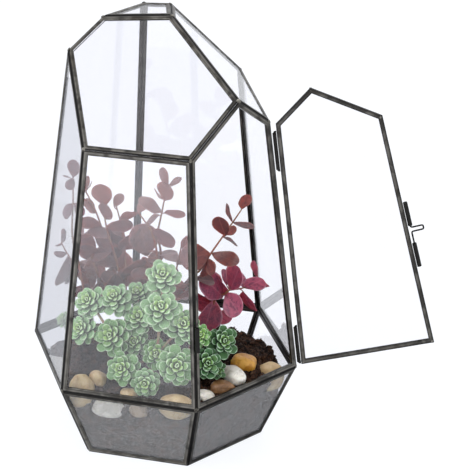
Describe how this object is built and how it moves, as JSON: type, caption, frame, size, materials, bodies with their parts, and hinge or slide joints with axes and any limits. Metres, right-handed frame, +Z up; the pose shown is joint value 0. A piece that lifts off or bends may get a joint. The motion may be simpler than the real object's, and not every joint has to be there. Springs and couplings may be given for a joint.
{
  "type": "glass terrarium",
  "caption": "Faceted glass terrarium in blackened metal channels, with a hinged door, wire bolt, peat, pebbles, succulents and red-leaved sprays.",
  "frame": {"origin": "centre of the underside of the base glass, on the surface that the terrarium stands on", "axes": "+Z up; -Y out of the front pane; +X towards the corner that the door hinges on"},
  "size_m": [0.3669, 0.2164, 0.3802],
  "materials": {
    "bronze": "blackened, satin, hand soldered",
    "clear_glass": "clear, polished",
    "peat": "crumbly, moist",
    "amber_stone": "tumbled, slightly translucent",
    "white_stone": "tumbled",
    "tan_stone": "tumbled",
    "rust_stone": "tumbled",
    "grey_stone": "tumbled",
    "succulent_leaf": "matt waxy bloom",
    "burgundy_leaf": "matt",
    "crimson_leaf": "matt"
  },
  "bodies": {
    "root": {"base_channel": "bronze", "base_glass": "clear_glass", "base_front_channel": "bronze", "base_front_glass": "clear_glass", "base_doorway_channel": "bronze", "base_doorway_glass": "clear_glass", "base_right_channel": "bronze", "base_right_glass": "clear_glass", "base_back_channel": "bronze", "base_back_glass": "clear_glass", "base_back_left_channel": "bronze", "base_back_left_glass": "clear_glass", "base_left_channel": "bronze", "base_left_glass": "clear_glass", "wall_front_channel": "bronze", "wall_front_glass": "clear_glass", "wall_right_channel": "bronze", "wall_right_glass": "clear_glass", "wall_back_channel": "bronze", "wall_back_glass": "clear_glass", "wall_back_left_channel": "bronze", "wall_back_left_glass": "clear_glass", "wall_left_channel": "bronze", "wall_left_glass": "clear_glass", "roof_front_channel": "bronze", "roof_front_glass": "clear_glass", "roof_right_channel": "bronze", "roof_right_glass": "clear_glass", "roof_top_channel": "bronze", "roof_top_glass": "clear_glass", "doorway_frame": "bronze", "hinge_tube_lower": "bronze", "hinge_tube_upper": "bronze", "keeper_tube": "bronze", "soil": "peat", "pebble_amber": "amber_stone", "pebble_chip": "white_stone", "pebble_grey": "grey_stone", "pebble_orange": "rust_stone", "pebble_pale": "white_stone", "pebble_small": "tan_stone", "pebble_tan_corner": "tan_stone", "pebble_tan_front": "tan_stone", "pebble_tan_left": "tan_stone", "pebble_white": "white_stone", "pebble_white_front": "white_stone", "succulent_front": "succulent_leaf", "succulent_right": "succulent_leaf", "spray_crimson": "crimson_leaf", "spray_left": "burgundy_leaf", "spray_mid": "burgundy_leaf", "spray_mid_left": "burgundy_leaf", "spray_right": "burgundy_leaf"},
    "door": {"door_channel": "bronze", "door_glass": "clear_glass", "hinge_pin_lower": "bronze", "hinge_pin_upper": "bronze", "latch_tube_lower": "bronze", "latch_tube_upper": "bronze"},
    "bolt": {"latch_bolt": "bronze"}
  },
  "joints": [
    {"name": "door_hinge", "type": "hinge", "parent": "root", "child": "door", "pos_m": [0.12703, 0, 0.07215], "axis": [-0.1243, 0, 0.9922], "range_deg": [-136.8, 33.2]},
    {"name": "latch_slide", "type": "slide", "parent": "door", "child": "bolt", "axis": [0.241, 0.0363, -0.9698], "range_m": [0, 0.009]}
  ]
}
